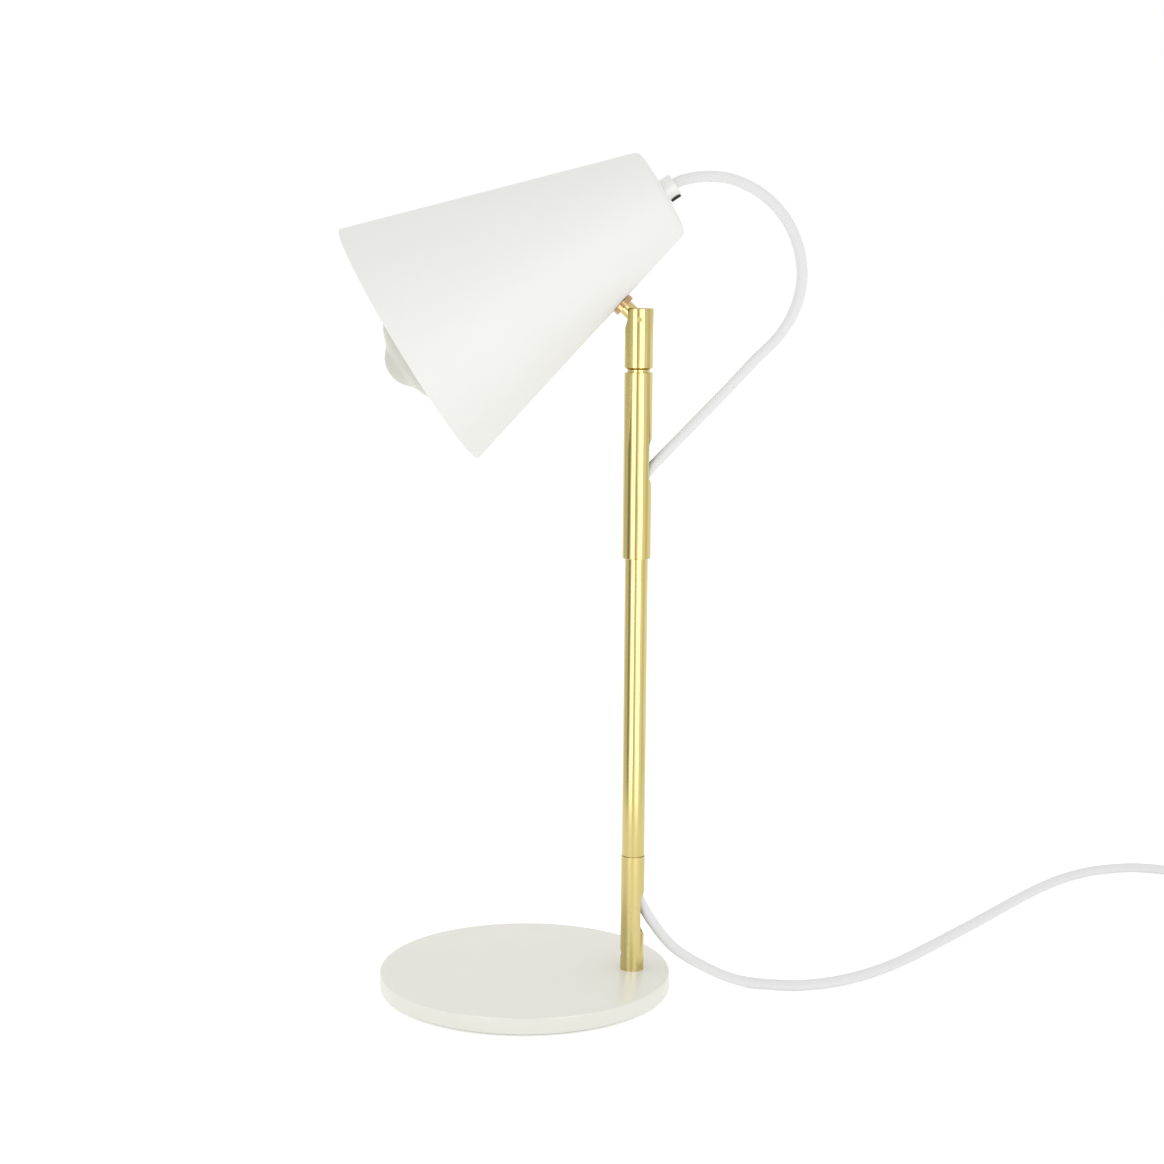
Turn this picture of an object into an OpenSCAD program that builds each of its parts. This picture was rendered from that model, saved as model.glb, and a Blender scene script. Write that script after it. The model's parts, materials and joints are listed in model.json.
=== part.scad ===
// Desk lamp with a round plate foot, a straight brass stem and a cone shade.
// The shade tilts on a ball knuckle, and the knuckle turns on the stem.
// Millimetres, +Z up. The origin is on the table under the middle of the foot.

/* [Foot] */
// Diameter of the round foot plate
foot_d = 167; // [150:1:180]
// Thickness of the foot plate
plate_t = 9.6; // [8.6:0.1:14]
// Thickness of the felt pad under the plate
pad_t = 1.0; // [0.8:0.1:2]
// Distance from the middle of the foot to the stem
post_x = 61.9; // [40:0.1:66]

/* [Stem] */
// Outer diameter of the stem tube
tube_d = 13; // [12.6:0.1:13.2]
// Outer diameter of the collar at the bottom of the stem
collar_d = 13.5; // [13.4:0.1:14]
// Outer diameter of the sleeve at the top of the stem, and of the knuckle
sleeve_d = 16; // [16:0.1:17]
// Height of the top of the collar
collar_top = 77.9; // [75:0.5:79]
// Height of the bottom of the sleeve
sleeve_bottom = 249.7; // [246:0.1:256]
// Height of the top of the sleeve
sleeve_top = 353.8; // [353.8:0.1:354]
// Length of the cord slots
slot_len = 26; // [25:0.5:26.5]

/* [Shade] */
// Diameter of the mouth of the shade
mouth_d = 146.6; // [140:0.2:148]
// Diameter that the cone would have at its back, without the rounded shoulder
back_d = 50.6; // [49:0.2:52]
// Length of the cone along its axis
shade_len = 162.5; // [160:0.5:164]
// Thickness of the shade's sheet
shade_t = 1.2; // [0.8:0.1:1.5]
// How far the axis of the shade points below the horizontal, in degrees
shade_dip = 31.2; // [30:0.1:32]
// Distance from the tilt pivot to the skin of the shade
neck_reach = 13.6; // [13.4:0.1:13.9]
// Distance from the neck to the edge of the mouth, along the skin
neck_from_mouth = 117.3; // [116.3:0.5:118.3]
// How far the lampholder hangs below the axis of the shade, in degrees
holder_droop = 2.5; // [0:0.1:3]

/* [Bulb] */
// Diameter of the bulb
bulb_d = 57; // [55:1:60]
// How far the middle of the bulb lies inside the mouth
bulb_inset = 6.7; // [5:0.1:9]

/* [Cord] */
// Diameter of the textile cord
cord_d = 6; // [6:0.1:6.1]

/* [Hidden] */
$fn = 64;

brass = [0.82, 0.74, 0.42];
white = [0.94, 0.94, 0.93];
steel = [0.7, 0.71, 0.72];

// Foot fixing
plate_top = pad_t + plate_t;
plate_edge = 1.1;
recess_r = 11;
recess_depth = 5.6;
bolt_r = 2.98;
bolt_clear_r = 3.3;
recess_top = pad_t + recess_depth;
bolt_washer_t = 1.2;
bolt_head_t = 4;
stud_h = 16;

// Stem
wall_in_r = 5.5;
joint_gap = 0.3;
collar_slot_z = 30.7;
sleeve_slot_z = 291.5;
collar_slot_w = 10;
sleeve_slot_w = 9.6;
grub_z = 19.4;
grub_hole_r = 2.75;
sleeve_bore_r = 6.52;
boss_bottom = 334;
tube_top = 286;

// Knuckle
ring_t = 1.4;
ring_r = 6.35;
head_bottom = sleeve_top + ring_t;
head_top = 389;
pivot_z = 382.7;
ball_r = 5.9;
running = 0.05;
neck_r = 4.2;
neck_slot_r = 4.8;
head_bore_bottom = 366;
spindle_r = 2.98;
washer_t = 3;
washer_r = 6.3;
pin_r = 1.5;

// Shade
half_angle = atan((mouth_d - back_d) / 2 / shade_len);
shoulder_r = 4.5;
dome_h = 1.2;
hole_r = 5.3;
lip_r = shade_t / 2;
neck_s = shade_len - neck_from_mouth * cos(half_angle);
neck_lean = shade_dip + half_angle;
turn = -(90 + shade_dip);
neck_skin_r = back_d / 2 + neck_s * tan(half_angle);
pivot_local = [
    -neck_skin_r - neck_reach * cos(half_angle),
    neck_s - neck_reach * sin(half_angle)
];
back = [
    post_x - pivot_local[0] * cos(turn) - pivot_local[1] * sin(turn),
    0,
    pivot_z + pivot_local[0] * sin(turn) - pivot_local[1] * cos(turn)
];

// Lampholder and bulb, measured from the back of the shade along the cone
grip_len = 6.8;
grip_r = 6.3;
tube_r = 4.98;
cord_r = cord_d / 2;
cord_bore_r = 3.15;
holder_s = 42;
insert_s = 60;
thread_s = 68;
cap_s = 76;
cap_end = 100;
holder_end = 104;
bulb_s = shade_len - bulb_inset;
bulb_r = bulb_d / 2;

// Cord loop from the shade to the sleeve, as [x, z] in the plane of the lamp
loop_route = [
    [80.6, 456.6], [83.5, 458.3], [90.5, 460], [96.5, 460.7], [103, 460.7],
    [109.5, 460], [115.5, 458.2], [122.5, 455.2], [129, 451.2], [135, 446.2],
    [140.2, 440.4], [144.3, 434.2], [147.5, 427.4], [150.2, 418.8],
    [151.4, 409.6], [151.2, 402.6], [150, 395.8], [148, 389.4], [145.3, 383.4],
    [142.1, 378], [138.2, 372.8], [133, 367.4], [127.2, 361.8], [120.5, 354.6],
    [113.6, 347]
];
loop_foot_route = [
    [113.5, 346.89], [105.4, 338.4], [97.2, 329.8], [90.2, 322.5], [83.3, 315.3],
    [76.2, 307.8], [69.1, 300.3]
];
// Cord inside the stem, as [distance from the stem's axis, z]
inside_route = [
    [7.2, 300.3], [4.4, 296.6], [2.2, 292], [0.7, 286.8], [0, 281], [0, 230],
    [0, 180], [0, 130], [0, 104], [0, 70], [0.5, 62.5], [1.9, 56.5], [4.2, 51],
    [7.1, 45.5]
];
// Mains lead from the collar to the switch
mains_route = [
    [69, 0, 45.5], [72.6, 0, 39.6], [76.8, 0, 33.6], [81.2, 0, 28],
    [86.6, 0, 22.6], [93.8, 0, 17.4], [102.4, -0.3, 12.6], [112, -0.8, 8],
    [123, -1.6, 4.4], [134.5, -3, 3.05], [146.5, -5.4, 3.05],
    [158.5, -5.8, 3.05], [172.5, -2, 3.05], [187.4, 5.6, 3.05],
    [204, 18.4, 3.05], [221.2, 35.7, 3.05], [240.5, 59.5, 3.05],
    [262, 87.6, 3.05], [285, 118, 3.05], [310, 152, 3.05], [334.5, 184.5, 3.05],
    [358.5, 212, 3.05], [385, 233.4, 3.05], [412, 243, 3.05], [428, 242, 3.05],
    [438, 237.8, 3.2], [446, 232.6, 4], [453.6, 227.8, 5.2],
    [461.4, 224.2, 6.3], [468.4, 222.5, 6.9], [474, 222, 7]
];
// Inline switch
switch_x = 474;
switch_y = 222;
switch_len = 58;
switch_w = 21;
switch_h = 15;
switch_axis_z = 7;
switch_split = 7;
switch_mid = switch_x + switch_len / 2;
rocker_len = 17;
rocker_w = 9;
rocker_z = 11.5;
// Cord from the switch to the coil
switch_route = [
    [532, 222, 7], [538, 222, 6.6], [545, 222, 5.6], [552, 222, 4.6],
    [560, 222, 3.95], [568, 222, 3.8], [575, 221.4, 3.8]
];
// Coil of spare lead, and the band that ties it
coil_x = 590;
coil_y = 181;
coil_in = 21.8;
coil_out = 44.8;
coil_lift = 0.8;
coil_h = 12;
tie_w = 9;
tie_t = 0.8;
// Cord from the coil to the plug, along -Y
end_route = [
    [631.3, 168, 9.8], [631.2, 162, 9.6], [631, 156, 8.9], [631, 150, 7.6]
];
// Plug
plug_x = 631;
plug_y = 130;
plug_len = 36;
plug_w = 35;
plug_t = 13.8;
pin_len = 19;
pin_space = 18.6;
plug_pin_r = 2;

// Points of an arc in a profile
function arc(c, r, a0, a1, n) = [for (i = [0:n]) let (a = a0 + (a1 - a0) * i / n)
    [c[0] + r * cos(a), c[1] + r * sin(a)]];
function unit(v) = v / norm(v);
// Direction of a route at one of its points
function along(p, i) = i == 0 ? unit(p[1] - p[0])
    : i == len(p) - 1 ? unit(p[i] - p[i - 1])
    : unit(unit(p[i + 1] - p[i]) + unit(p[i] - p[i - 1]));
// A direction across the route, carried along it without twist
function across(p, i) = i == 0 ? unit(cross(along(p, 0), [0.1, 0.9, 0.3]))
    : let (t = along(p, i), v = across(p, i - 1)) unit(v - t * (v * t));
function in_plane(route, x = 0) = [for (q = route) [x + q[0], 0, q[1]]];

// A round cord along a route, with a ring of points at each of its points
module cord(route, r = cord_r, sides = 10) {
    n = len(route);
    points = [for (i = [0:n - 1]) let (u = across(route, i), v = cross(along(route, i), u))
        for (k = [0:sides - 1]) let (a = 360 * k / sides)
            route[i] + r * (u * cos(a) + v * sin(a))];
    skin = [for (i = [0:n - 2], k = [0:sides - 1]) let (m = (k + 1) % sides)
        [i * sides + m, i * sides + k, (i + 1) * sides + k, (i + 1) * sides + m]];
    ends = [[for (k = [0:sides - 1]) k], [for (k = [sides - 1:-1:0]) (n - 1) * sides + k]];
    polyhedron(points, concat(skin, ends));
}

module on_post(z) { translate([post_x, 0, z]) children(); }
module in_shade() { translate(back) rotate([0, turn, 0]) children(); }
module in_holder() { in_shade() rotate([0, -holder_droop, 0]) children(); }
module in_neck() { on_post(pivot_z) rotate([0, -neck_lean, 0]) children(); }
module pipe(r_out, r_in, h) {
    difference() {
        cylinder(r = r_out, h = h);
        translate([0, 0, -1]) cylinder(r = r_in, h = h + 2);
    }
}
module hex(across_flats, h) { cylinder(r = across_flats / sqrt(3), h = h, $fn = 6); }
// A slot with round ends in the +X wall of a tube
module cord_slot(z, w) {
    for (end = [z + w / 2, z + slot_len - w / 2])
        translate([0, 0, end]) rotate([0, 90, 0]) cylinder(r = w / 2, h = 12);
    translate([0, -w / 2, z + w / 2]) cube([12, w, slot_len - w]);
}

// ---- Foot
module base_plate() color(white) difference() {
    rotate_extrude($fn = 128) polygon(concat(
        [[0, pad_t]],
        arc([foot_d / 2 - plate_edge, pad_t + plate_edge], plate_edge, -90, 0, 5),
        arc([foot_d / 2 - plate_edge, plate_top - plate_edge], plate_edge, 0, 90, 5),
        [[0, plate_top]]));
    on_post(pad_t - 1) cylinder(r = recess_r, h = recess_depth + 1);
    on_post(pad_t) cylinder(r = bolt_clear_r, h = plate_t + 1);
}
module base_pad() color([0.25, 0.25, 0.25])
    cylinder(r = foot_d / 2 - 2.5, h = pad_t, $fn = 128);
module foot_bolt() color(steel) {
    on_post(recess_top - bolt_washer_t - bolt_head_t) hex(10, bolt_head_t);
    on_post(recess_top - bolt_washer_t - 0.1) cylinder(r = bolt_r, h = 18);
}
module foot_washer() color(steel)
    on_post(recess_top - bolt_washer_t) pipe(9, bolt_clear_r, bolt_washer_t);
module foot_stud() color(steel) on_post(plate_top) difference() {
    cylinder(r = wall_in_r - running, h = stud_h);
    translate([0, 0, -1]) cylinder(r = 3, h = stud_h - 1);
    translate([-3.4, 0, grub_z - plate_top]) rotate([0, -90, 0])
        cylinder(r = grub_hole_r, h = 5);
}

// ---- Stem
module foot_collar() color(brass) on_post(0) difference() {
    translate([0, 0, plate_top]) pipe(collar_d / 2, wall_in_r, collar_top - plate_top);
    cord_slot(collar_slot_z, collar_slot_w);
    translate([-3.4, 0, grub_z]) rotate([0, -90, 0]) cylinder(r = grub_hole_r, h = 6);
}
module collar_grub_screw() color(steel) on_post(grub_z) rotate([0, -90, 0])
    translate([0, 0, 3.5]) difference() {
        cylinder(r = grub_hole_r - running, h = 2.6);
        translate([0, 0, 1.2]) hex(2.5, 3);
    }
module stem_spigot() color(brass) on_post(60) pipe(wall_in_r - running, 4, 38);
module stem_tube() color(brass)
    on_post(collar_top + joint_gap)
        pipe(tube_d / 2, wall_in_r, tube_top - collar_top - joint_gap);
module cord_anchor() color(white) on_post(101) pipe(5.3, cord_r + running, 4);
module upper_sleeve() color(brass) on_post(0) difference() {
    rotate_extrude() polygon([
        [sleeve_bore_r, sleeve_bottom], [sleeve_d / 2 - 0.3, sleeve_bottom],
        [sleeve_d / 2, sleeve_bottom + 0.3], [sleeve_d / 2, sleeve_top - 0.3],
        [sleeve_d / 2 - 0.6, sleeve_top], [spindle_r + running, sleeve_top],
        [spindle_r + running, boss_bottom], [sleeve_bore_r, boss_bottom]]);
    cord_slot(sleeve_slot_z, sleeve_slot_w);
}
module swivel_washer() color(brass)
    on_post(sleeve_top) pipe(ring_r, spindle_r + running, ring_t);

// ---- Knuckle
module swivel_head() color(brass) on_post(0) difference() {
    rotate_extrude() polygon([
        [0, head_bottom], [ring_r, head_bottom], [sleeve_d / 2, head_bottom + 1.1],
        [sleeve_d / 2, head_top - 0.5], [sleeve_d / 2 - 0.5, head_top], [0, head_top]]);
    translate([0, 0, head_bottom - 1])
        cylinder(r = 3, h = head_bore_bottom - head_bottom + 2);
    translate([0, 0, head_bore_bottom])
        cylinder(r = ball_r + running, h = pivot_z - head_bore_bottom);
    translate([0, 0, pivot_z]) {
        sphere(r = ball_r + running);
        cylinder(r = neck_slot_r, h = 12);
        rotate([0, -90, 0]) cylinder(r = neck_slot_r, h = 12);
        translate([-12, -neck_slot_r, 0]) cube([12, 2 * neck_slot_r, 12]);
        rotate([90, 0, 0]) cylinder(r = pin_r, h = 20, center = true);
    }
}
module swivel_spindle() color(brass) on_post(327) cylinder(r = spindle_r, h = 38.5);
module spindle_washer() color(steel) on_post(332.6) pipe(5.8, 3.1, 1.4);
module spindle_nut() color(steel) on_post(327.6) difference() {
    hex(10, 5);
    translate([0, 0, -1]) cylinder(r = 3, h = 7);
}
module friction_spring() color(steel) on_post(head_bore_bottom) pipe(5.6, 3.1, 3);
module friction_pad() color(white) on_post(0) difference() {
    translate([0, 0, head_bore_bottom + 3])
        cylinder(r = ball_r - running, h = 8.8);
    translate([0, 0, pivot_z]) sphere(r = ball_r + running);
}
module pivot_pin() color(brass) on_post(pivot_z) rotate([90, 0, 0])
    cylinder(r = pin_r - 0.01, h = 15.5, center = true);

// ---- Neck and shade
module tilt_neck() color(brass) in_neck() difference() {
    union() {
        sphere(r = ball_r);
        cylinder(r = neck_r, h = neck_reach - washer_t - 0.1);
        cylinder(r = 2.98, h = neck_reach + 7);
    }
    rotate([90, 0, 0]) cylinder(r = pin_r + running, h = 20, center = true);
}
module neck_washer() color([0.72, 0.5, 0.33]) in_neck()
    translate([0, 0, neck_reach - washer_t - 0.08]) pipe(washer_r, 3, washer_t);
module neck_nut() color(brass) in_neck()
    translate([0, 0, neck_reach + shade_t + 0.7]) difference() {
        hex(10, 4);
        translate([0, 0, -1]) cylinder(r = 3, h = 6);
    }

function cone_r(s) = back_d / 2 + s * tan(half_angle);
shoulder_c = [
    back_d / 2 + shoulder_r * tan(half_angle) - shoulder_r / cos(half_angle),
    shoulder_r
];
function dome(r) = -dome_h * (1 - pow(r / shoulder_c[0], 2));
dome_steps = [0:4];
module shade_shell() color(white) in_shade() difference() {
    rotate_extrude($fn = 128) polygon(concat(
        [for (i = dome_steps) let (r = hole_r + (shoulder_c[0] - hole_r) * i / 5)
            [r, dome(r)]],
        arc(shoulder_c, shoulder_r, -90, -half_angle, 6),
        arc([cone_r(shade_len) - lip_r / cos(half_angle), shade_len - lip_r],
            lip_r, -half_angle, 180 - half_angle, 6),
        arc(shoulder_c, shoulder_r - shade_t, -half_angle, -90, 6),
        [for (i = dome_steps) let (r = hole_r + (shoulder_c[0] - hole_r) * (4 - i) / 5)
            [r, dome(r) + shade_t]]));
    translate([pivot_local[0], 0, pivot_local[1]]) rotate([0, 90 - half_angle, 0])
        cylinder(r = 3.1, h = 30);
}

// ---- Cord grip and lampholder
module cord_grip() color(white) in_holder() difference() {
    translate([0, 0, -dome_h - grip_len]) cylinder(r = grip_r, h = grip_len + 0.6);
    rotate([0, holder_droop, 0]) translate([0, 0, -dome_h - 0.02]) cylinder(r = 20, h = 10);
    translate([0, 0, -5]) cylinder(r = tube_r + 0.02, h = 6);
    translate([0, 0, -20]) cylinder(r = cord_bore_r, h = 30);
    translate([0, 0, -4.6]) rotate([0, -90, 0]) cylinder(r = 1.5, h = 10);
}
module grip_screw() color([0.05, 0.05, 0.05]) in_holder()
    translate([-grip_r - 0.02, 0, -4.6]) rotate([0, -90, 0]) difference() {
        union() {
            cylinder(r = 3, h = 1.1);
            translate([0, 0, -1]) cylinder(r = 1.48, h = 1.2);
        }
        translate([-2.2, -0.35, 0.6]) cube([4.4, 0.7, 1]);
    }
module holder_tube() color(steel) in_holder()
    translate([0, 0, -5]) pipe(tube_r, cord_bore_r, holder_s + 7);
module tube_nut() color(steel) in_holder() translate([0, 0, 0.9]) difference() {
    hex(14, 3);
    translate([0, 0, -1]) cylinder(r = tube_r + 0.02, h = 5);
}
module holder_cap() color(white) in_holder() rotate_extrude() polygon([
    [tube_r + 0.02, holder_s], [9, holder_s], [11, holder_s + 1.5], [17, holder_s + 9],
    [18, holder_s + 12], [18, insert_s], [16, insert_s], [15.6, holder_s + 12],
    [10, holder_s + 4], [tube_r + 0.02, holder_s + 4]]);
module holder_body() color(white) in_holder() rotate_extrude() polygon([
    [15.6, insert_s], [18, insert_s], [18, holder_end - 1], [17, holder_end],
    [15.6, holder_end]]);
module holder_insert() color(white) in_holder()
    translate([0, 0, insert_s]) pipe(15.55, 2, thread_s - insert_s);
module holder_thread() color(brass) in_holder()
    translate([0, 0, thread_s]) pipe(14.2, 13.5, 28);
module holder_contact() color(brass) in_holder() translate([0, 0, thread_s]) {
    translate([-9, -2, 0]) cube([11, 4, 0.8]);
    cylinder(r = 2, h = 3.6);
}
module bulb_cap() color(steel) in_holder() rotate_extrude() polygon([
    [0, cap_s - 1], [4.5, cap_s - 1], [9, cap_s + 1], [12.2, cap_s + 4],
    [13.1, cap_s + 6], [13.1, cap_end], [0, cap_end]]);
module bulb_contact() color(steel) in_holder()
    translate([0, 0, thread_s + 3.6]) cylinder(r = 4.4, h = cap_s - 1 - thread_s - 3.6);

// The bulb's outline, from the cap to its tip
flank_r = 13.2;
bulb_side_s = bulb_s - bulb_r * sin(38);
bulb_side_r = bulb_r * cos(38);
// The front is a shallow dome with a rounded crown in its middle
bulb_front = [
    [28.1, 5.6], [27.3, 8.6], [25.6, 11.3], [23.1, 13.4], [20, 15.1], [16.8, 16.4],
    [14.2, 17.5], [12.3, 19.1], [10.5, 20.8], [8.6, 22.3], [6.4, 23.5],
    [4, 24.3], [2, 24.6], [0, 24.7]
];
function flank(t) = flank_r + (bulb_side_r - flank_r) * (1 - cos(180 * t)) / 2;
module bulb_glass() color([0.87, 0.87, 0.84]) in_holder() rotate_extrude($fn = 96)
    polygon(concat(
        [[0, cap_end]],
        [for (i = [0:9]) [flank(i / 14), cap_end + (bulb_side_s - cap_end) * i / 10]],
        arc([0, bulb_s], bulb_r, -38, 4, 8),
        [for (p = bulb_front) [p[0], bulb_s + p[1]]]));
module cord_tail() color(white) in_holder()
    translate([0, 0, -dome_h - grip_len + 0.3]) cylinder(r = cord_r, h = holder_s + 10);

// ---- Cord
module cord_loop() color(white) cord(in_plane(loop_route));
module cord_loop_foot() color(white) cord(in_plane(loop_foot_route));
module cord_inside() color(white) cord(in_plane(inside_route, post_x));
module mains_lead() color(white) cord(mains_route);
module switch_lead() color(white) cord(switch_route);
module lead_end() color(white) cord(end_route);
module lead_coil() color(white) translate([coil_x, coil_y, coil_lift])
    rotate_extrude() polygon([
        [coil_in + 2, 0], [coil_out - 2, 0], [coil_out, 2], [coil_out, coil_h - 2],
        [coil_out - 2, coil_h], [coil_in + 2, coil_h], [coil_in, coil_h - 2],
        [coil_in, 2]]);
module coil_tie() color([0.3, 0.3, 0.3]) translate([coil_x, coil_y, 0])
    rotate([0, 0, 250]) difference() {
        translate([coil_in - 1.4, -tie_w / 2, 0])
            cube([coil_out - coil_in + 2.4, tie_w, coil_h + 2 * tie_t]);
        translate([coil_in - 1.4 + tie_t, -tie_w, tie_t])
            cube([coil_out - coil_in + 2.4 - 2 * tie_t, 2 * tie_w, coil_h]);
    }

// ---- Inline switch
module capsule(inset, z0, z1) {
    r = switch_w / 2 - inset;
    translate([switch_x + switch_w / 2, switch_y, z0]) cylinder(r = r, h = z1 - z0);
    translate([switch_x + switch_len - switch_w / 2, switch_y, z0])
        cylinder(r = r, h = z1 - z0);
    translate([switch_x + switch_w / 2, switch_y - r, z0])
        cube([switch_len - switch_w, 2 * r, z1 - z0]);
}
// The round passages where the cord enters the switch at both ends
module switch_passage() {
    translate([switch_x - 1, switch_y, switch_axis_z]) rotate([0, 90, 0])
        cylinder(r = cord_r + 0.05, h = 14);
    translate([switch_x + switch_len - 13, switch_y, switch_axis_z]) rotate([0, 90, 0])
        cylinder(r = cord_r + 0.05, h = 14);
}
module screw_places() {
    for (dx = [-16, 16]) translate([switch_mid + dx, switch_y, 0]) children();
}
module switch_base() color(white) difference() {
    capsule(0, 0, switch_split);
    capsule(1.6, 1.6, switch_split + 1);
    switch_passage();
    screw_places() translate([0, 0, -1]) cylinder(r = 1.3, h = 4);
}
module switch_cover() color(white) difference() {
    union() {
        difference() {
            capsule(0, switch_split, switch_h);
            capsule(1.6, switch_split - 1, switch_h - 1.6);
        }
        screw_places() translate([0, 0, switch_split]) cylinder(r = 2.6, h = 7);
    }
    translate([switch_mid - rocker_len / 2 - 0.4, switch_y - rocker_w / 2 - 0.4, 9])
        cube([rocker_len + 0.8, rocker_w + 0.8, 10]);
    switch_passage();
    screw_places() translate([0, 0, switch_split - 1]) cylinder(r = 1.25, h = 6);
    translate([switch_mid, switch_y, rocker_z]) rotate([90, 0, 0])
        cylinder(r = 0.85, h = switch_w - 2, center = true);
}
module switch_terminals() color(brass)
    for (dx = [-9.5, 3.5]) translate([switch_mid + dx, switch_y - 4, 1.6])
        cube([6, 8, 5]);
module switch_screws() color(steel) screw_places() {
    translate([0, 0, 0.2]) cylinder(r = 1.2, h = 10);
    translate([0, 0, 1.7]) cylinder(r = 2.2, h = 1.4);
}
module switch_rocker() color(white)
    translate([switch_mid, switch_y, rocker_z]) rotate([90, 0, 0]) {
        translate([0, 0, -rocker_w / 2]) linear_extrude(rocker_w) polygon([
            [-rocker_len / 2, 1.5], [-rocker_len / 2 + 0.6, -1.5], [-2, -2.6], [2, -2.6],
            [rocker_len / 2 - 0.6, -1.5], [rocker_len / 2, 1.5],
            [rocker_len / 2 - 0.4, 4.8], [0, 4], [-rocker_len / 2 + 0.4, 4.8]]);
        cylinder(r = 0.8, h = rocker_w + 4, center = true);
    }

// ---- Plug
module in_plug() { translate([plug_x, plug_y, plug_t / 2]) rotate([90, 0, 0]) children(); }
module plug_sleeve() color(white) in_plug() difference() {
    translate([0, 0, -20]) cylinder(r1 = 3.6, r2 = 5, h = 20);
    translate([0, 0, -21]) cylinder(r = cord_bore_r, h = 22);
}
module plug_body() color(white) in_plug() difference() {
    translate([0, plug_t / 2, 0]) rotate([90, 0, 0]) linear_extrude(plug_t) polygon([
        [-7, 0], [7, 0], [plug_w / 2 - 3, plug_len * 0.55], [plug_w / 2, plug_len - 6],
        [plug_w / 2, plug_len], [-plug_w / 2, plug_len], [-plug_w / 2, plug_len - 6],
        [-plug_w / 2 + 3, plug_len * 0.55]]);
    for (side = [-1, 1]) translate([side * pin_space / 2, 0, plug_len - 12])
        cylinder(r = plug_pin_r, h = 13);
}
module plug_pins() color(steel) in_plug() for (side = [-1, 1])
    translate([side * pin_space / 2, 0, plug_len - 12]) {
        cylinder(r = plug_pin_r - 0.01, h = 12 + pin_len - 1);
        translate([0, 0, 11 + pin_len]) cylinder(r1 = plug_pin_r - 0.01, r2 = 1.2, h = 1);
    }

base_plate();
base_pad();
foot_bolt();
foot_washer();
foot_stud();
foot_collar();
collar_grub_screw();
stem_spigot();
stem_tube();
cord_anchor();
upper_sleeve();
swivel_washer();
swivel_head();
swivel_spindle();
spindle_washer();
spindle_nut();
friction_spring();
friction_pad();
pivot_pin();
tilt_neck();
neck_washer();
neck_nut();
shade_shell();
cord_grip();
grip_screw();
holder_tube();
tube_nut();
holder_cap();
holder_body();
holder_insert();
holder_thread();
holder_contact();
bulb_cap();
bulb_contact();
bulb_glass();
cord_tail();
cord_loop();
cord_loop_foot();
cord_inside();
mains_lead();
switch_base();
switch_cover();
switch_terminals();
switch_screws();
switch_rocker();
switch_lead();
lead_coil();
coil_tie();
lead_end();
plug_sleeve();
plug_body();
plug_pins();
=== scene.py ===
"""Desk lamp with a round plate foot, a brass stem and a cone shade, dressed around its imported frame."""

import json
import logging
import math
from dataclasses import dataclass
from enum import Enum
from typing import ClassVar

import bmesh
import bpy
from mathutils import Matrix, Vector

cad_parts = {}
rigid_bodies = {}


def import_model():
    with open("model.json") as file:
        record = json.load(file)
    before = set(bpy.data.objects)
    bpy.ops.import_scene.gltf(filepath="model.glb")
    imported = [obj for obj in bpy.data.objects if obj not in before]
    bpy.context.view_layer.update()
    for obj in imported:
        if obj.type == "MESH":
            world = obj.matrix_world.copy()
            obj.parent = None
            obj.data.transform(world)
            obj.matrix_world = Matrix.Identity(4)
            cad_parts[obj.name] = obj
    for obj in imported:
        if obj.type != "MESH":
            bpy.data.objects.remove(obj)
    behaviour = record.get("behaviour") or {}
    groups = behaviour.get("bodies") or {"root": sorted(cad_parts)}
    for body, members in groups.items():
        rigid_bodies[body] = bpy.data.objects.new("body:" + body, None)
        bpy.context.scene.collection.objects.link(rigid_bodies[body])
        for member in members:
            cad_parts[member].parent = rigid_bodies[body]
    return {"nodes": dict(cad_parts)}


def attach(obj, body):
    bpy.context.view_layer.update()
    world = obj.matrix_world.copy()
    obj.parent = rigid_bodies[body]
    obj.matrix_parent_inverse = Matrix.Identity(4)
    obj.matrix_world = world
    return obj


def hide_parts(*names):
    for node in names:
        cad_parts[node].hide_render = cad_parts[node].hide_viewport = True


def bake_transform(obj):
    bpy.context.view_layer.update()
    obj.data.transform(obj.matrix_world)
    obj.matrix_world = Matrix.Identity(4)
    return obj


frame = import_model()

LOG = logging.getLogger("lamp")
MM = 0.001
# A face is part of a turned wall when it looks away from the axis at least this squarely
WALL_FACING = 0.98
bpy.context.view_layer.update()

Route = list[tuple[float, float, float]]
Profile = list[tuple[float, float]]


class Body(Enum):
    """The rigid bodies of the lamp."""

    STAND = "stand"
    KNUCKLE = "knuckle"
    SHADE = "shade"
    ROCKER = "rocker"


def linear(hex_colour: str) -> tuple[float, float, float, float]:
    """Turn an sRGB hex colour into linear light.

    Args:
        hex_colour: six hex digits, such as "F0F0EE".

    Returns:
        Red, green, blue and an alpha of 1.
    """
    parts = [int(hex_colour[i : i + 2], 16) / 255 for i in (0, 2, 4)]
    lit = [p / 12.92 if p <= 0.04045 else ((p + 0.055) / 1.055) ** 2.4 for p in parts]
    return lit[0], lit[1], lit[2], 1.0


def add(tree: bpy.types.NodeTree, kind: str, settings: dict | None = None, **links: object) -> bpy.types.Node:
    """Add a node with its settings, and fill its inputs with values or links.

    Args:
        tree: the node tree that gets the node.
        kind: Blender's name for the kind of node.
        settings: attributes to set on the node.
        **links: inputs by name, with _ for a space, or i0, i1 for an input's place. Each is a value or
            a socket.

    Returns:
        The new node.
    """
    node = tree.nodes.new(kind)
    for key, value in (settings or {}).items():
        setattr(node, key, value)
    for key, value in links.items():
        by_place = key[0] == "i" and key[1:].isdigit()
        socket = node.inputs[int(key[1:])] if by_place else node.inputs[key.replace("_", " ")]
        if isinstance(value, bpy.types.NodeSocket):
            tree.links.new(value, socket)
        else:
            socket.default_value = value
    return node


# ---------------------------------------------------------------- Finishes


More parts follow.
